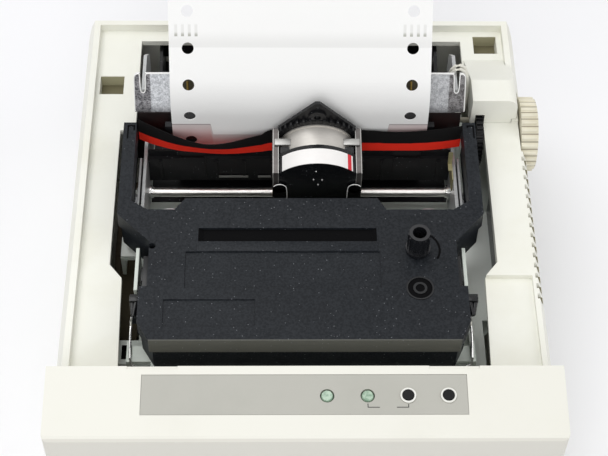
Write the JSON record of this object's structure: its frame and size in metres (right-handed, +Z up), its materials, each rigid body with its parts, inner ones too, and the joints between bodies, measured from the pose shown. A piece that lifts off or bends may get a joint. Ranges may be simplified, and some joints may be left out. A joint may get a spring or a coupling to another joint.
{
  "type": "dot matrix printer",
  "caption": "Small cream dot matrix printer, top cover off, with a print head on a sliding carriage, a lift-out ribbon cassette and sprocket-fed paper leaning up from the platen.",
  "frame": {"origin": "middle of the printer's bounding box on the table plane under the rubber feet", "axes": "X to the printer's right, Y to its back where the paper enters, Z up; the control panel faces -Y"},
  "size_m": [0.164, 0.1874, 0.1344],
  "materials": {
    "case_cream": "smooth cream case plastic",
    "bezel_white": "smooth off-white plastic",
    "panel_grey": "flat grey film plate",
    "button_black": "black plastic",
    "ring_white": "white plastic ring",
    "lamp_green": "milky green lens",
    "board_green": "green circuit board with parts",
    "foot_rubber": "black rubber",
    "screw_steel": "bright screws",
    "core_iron": "laminated transformer core",
    "socket_black": "black socket plastic",
    "chassis_zinc": "pale plated sheet steel",
    "frame_zinc": "plated sheet steel",
    "shaft_steel": "ground steel shaft",
    "carriage_black": "black moulded plastic",
    "bush_bronze": "oiled bronze",
    "head_metal": "cast light metal",
    "band_white": "white label band, bare",
    "belt_black": "black belt",
    "pulley_light": "light pulley",
    "motor_steel": "plated motor can",
    "gear_natural": "natural plastic gears",
    "gear_black": "black plastic gear",
    "roller_dark": "dark roller",
    "wheel_cream": "aged cream plastic wheel",
    "tear_zinc": "galvanised sheet",
    "paper_white": "white sprocket paper",
    "leaf_brass": "brass contact strip",
    "cradle_zinc": "plated sheet steel",
    "spring_wire": "bright spring wire",
    "cassette_charcoal": "charcoal cassette plastic, finely textured",
    "ribbon_ink": "inked fabric ribbon, black above red",
    "lead_white": "white wire insulation"
  },
  "bodies": {
    "housing": {"lower_case": "case_cream", "upper_case": "case_cream", "front_bezel": "bezel_white", "gear_cover": "case_cream", "panel_plate": "panel_grey", "button_rings": "ring_white", "power_lamp": "lamp_green", "alarm_lamp": "lamp_green", "panel_board": "board_green", "rubber_feet": "foot_rubber", "case_screws": "screw_steel", "main_board": "board_green", "transformer": "core_iron", "power_inlet": "socket_black", "interface_connector": "socket_black", "chassis": "chassis_zinc", "chassis_screws": "screw_steel", "side_frame_left": "frame_zinc", "side_frame_right": "frame_zinc", "guide_shaft": "shaft_steel", "rear_rail": "shaft_steel", "drive_belt": "belt_black", "idler_axle": "shaft_steel", "carriage_motor": "motor_steel", "feed_motor": "motor_steel", "platen_bar": "carriage_black", "front_guide": "carriage_black", "paper_chute": "carriage_black", "tear_plate": "tear_zinc", "paper": "paper_white", "contact_leaf": "leaf_brass", "sensor_leads": "lead_white"},
    "print_carriage": {"carriage": "carriage_black", "carriage_bushes": "bush_bronze", "head_nose": "carriage_black", "head_body": "head_metal", "head_cap": "carriage_black", "head_band": "band_white", "head_side_plates": "frame_zinc"},
    "belt_motor_pulley": {"motor_pulley": "pulley_light"},
    "belt_idler": {"idler_pulley": "pulley_light"},
    "paper_feed": {"feed_shaft": "shaft_steel", "feed_roller": "roller_dark", "pin_wheels": "gear_black", "feed_gear": "gear_black", "paper_wheel": "wheel_cream"},
    "feed_drive": {"feed_pinion": "gear_natural"},
    "select_key": {"select_button": "button_black"},
    "feed_key": {"feed_button": "button_black"},
    "power_switch": {"power_rocker": "socket_black"},
    "cradle": {"cassette_cradle": "cradle_zinc", "latch_springs": "spring_wire"},
    "cassette": {"cassette_cover": "cassette_charcoal", "cassette_base": "cassette_charcoal", "ribbon": "ribbon_ink"},
    "knob": {"ribbon_knob": "cassette_charcoal", "ribbon_gear": "gear_natural"},
    "socket": {"drive_socket": "gear_natural"},
    "pinch": {"pinch_roller": "roller_dark"},
    "spindle": {"ribbon_spindle": "gear_natural"}
  },
  "joints": [
    {"name": "carriage_slide", "type": "slide", "parent": "housing", "child": "print_carriage", "axis": [1, 0, 0], "range_m": [-0.04, 0.031], "deforming": ["ribbon"]},
    {"name": "motor_pulley_spin", "type": "hinge", "parent": "housing", "child": "belt_motor_pulley", "pos_m": [0.043, 0.00829, 0.05], "axis": [0, 0, 1], "range_deg": [-400, 515]},
    {"name": "idler_pulley_spin", "type": "hinge", "parent": "housing", "child": "belt_idler", "pos_m": [-0.049, 0.00829, 0.05], "axis": [0, 0, 1], "range_deg": [-400, 515]},
    {"name": "feed_spin", "type": "hinge", "parent": "housing", "child": "paper_feed", "pos_m": [-0.002, 0.04171, 0.062], "axis": [1, 0, 0], "continuous": true, "deforming": ["paper"]},
    {"name": "feed_pinion_spin", "type": "hinge", "parent": "housing", "child": "feed_drive", "pos_m": [0.058, 0.05444, 0.05495], "axis": [1, 0, 0], "continuous": true},
    {"name": "select_button_press", "type": "slide", "parent": "housing", "child": "select_key", "axis": [0, 0.1305, -0.9914], "range_m": [0, 0.0008], "stiffness_N_per_m": 300},
    {"name": "feed_button_press", "type": "slide", "parent": "housing", "child": "feed_key", "axis": [0, 0.1305, -0.9914], "range_m": [0, 0.0008], "stiffness_N_per_m": 300},
    {"name": "power_rocker_tilt", "type": "hinge", "parent": "housing", "child": "power_switch", "pos_m": [-0.03, 0.08729, 0.021], "axis": [-1, 0, 0], "range_deg": [0, 14]},
    {"name": "cradle_tilt", "type": "hinge", "parent": "housing", "child": "cradle", "pos_m": [-0.002, -0.05171, 0.06], "axis": [1, 0, 0], "range_deg": [0, 4]},
    {"name": "cassette_lift", "type": "slide", "parent": "cradle", "child": "cassette", "axis": [0, 0, 1], "range_m": [0, 0.03]},
    {"name": "knob_turn", "type": "hinge", "parent": "cassette", "child": "knob", "pos_m": [0.0355, -0.02211, 0.072], "axis": [0, 0, 1], "continuous": true},
    {"name": "socket_turn", "type": "hinge", "parent": "cassette", "child": "socket", "pos_m": [0.0355, -0.03746, 0.072], "axis": [0, 0, 1], "continuous": true},
    {"name": "pinch_turn", "type": "hinge", "parent": "cassette", "child": "pinch", "pos_m": [0.02215, -0.02211, 0.072], "axis": [0, 0, 1], "continuous": true},
    {"name": "spindle_turn", "type": "hinge", "parent": "cradle", "child": "spindle", "pos_m": [0.0355, -0.03746, 0.072], "axis": [0, 0, 1], "continuous": true}
  ],
  "couplings": [
    {"joint": "motor_pulley_spin", "follows": "carriage_slide", "rad_per_m": -222.22},
    {"joint": "idler_pulley_spin", "follows": "carriage_slide", "rad_per_m": -222.22},
    {"joint": "feed_pinion_spin", "follows": "feed_spin", "ratio": -3},
    {"joint": "socket_turn", "follows": "knob_turn", "ratio": -1},
    {"joint": "pinch_turn", "follows": "knob_turn", "ratio": -1.3571}
  ]
}
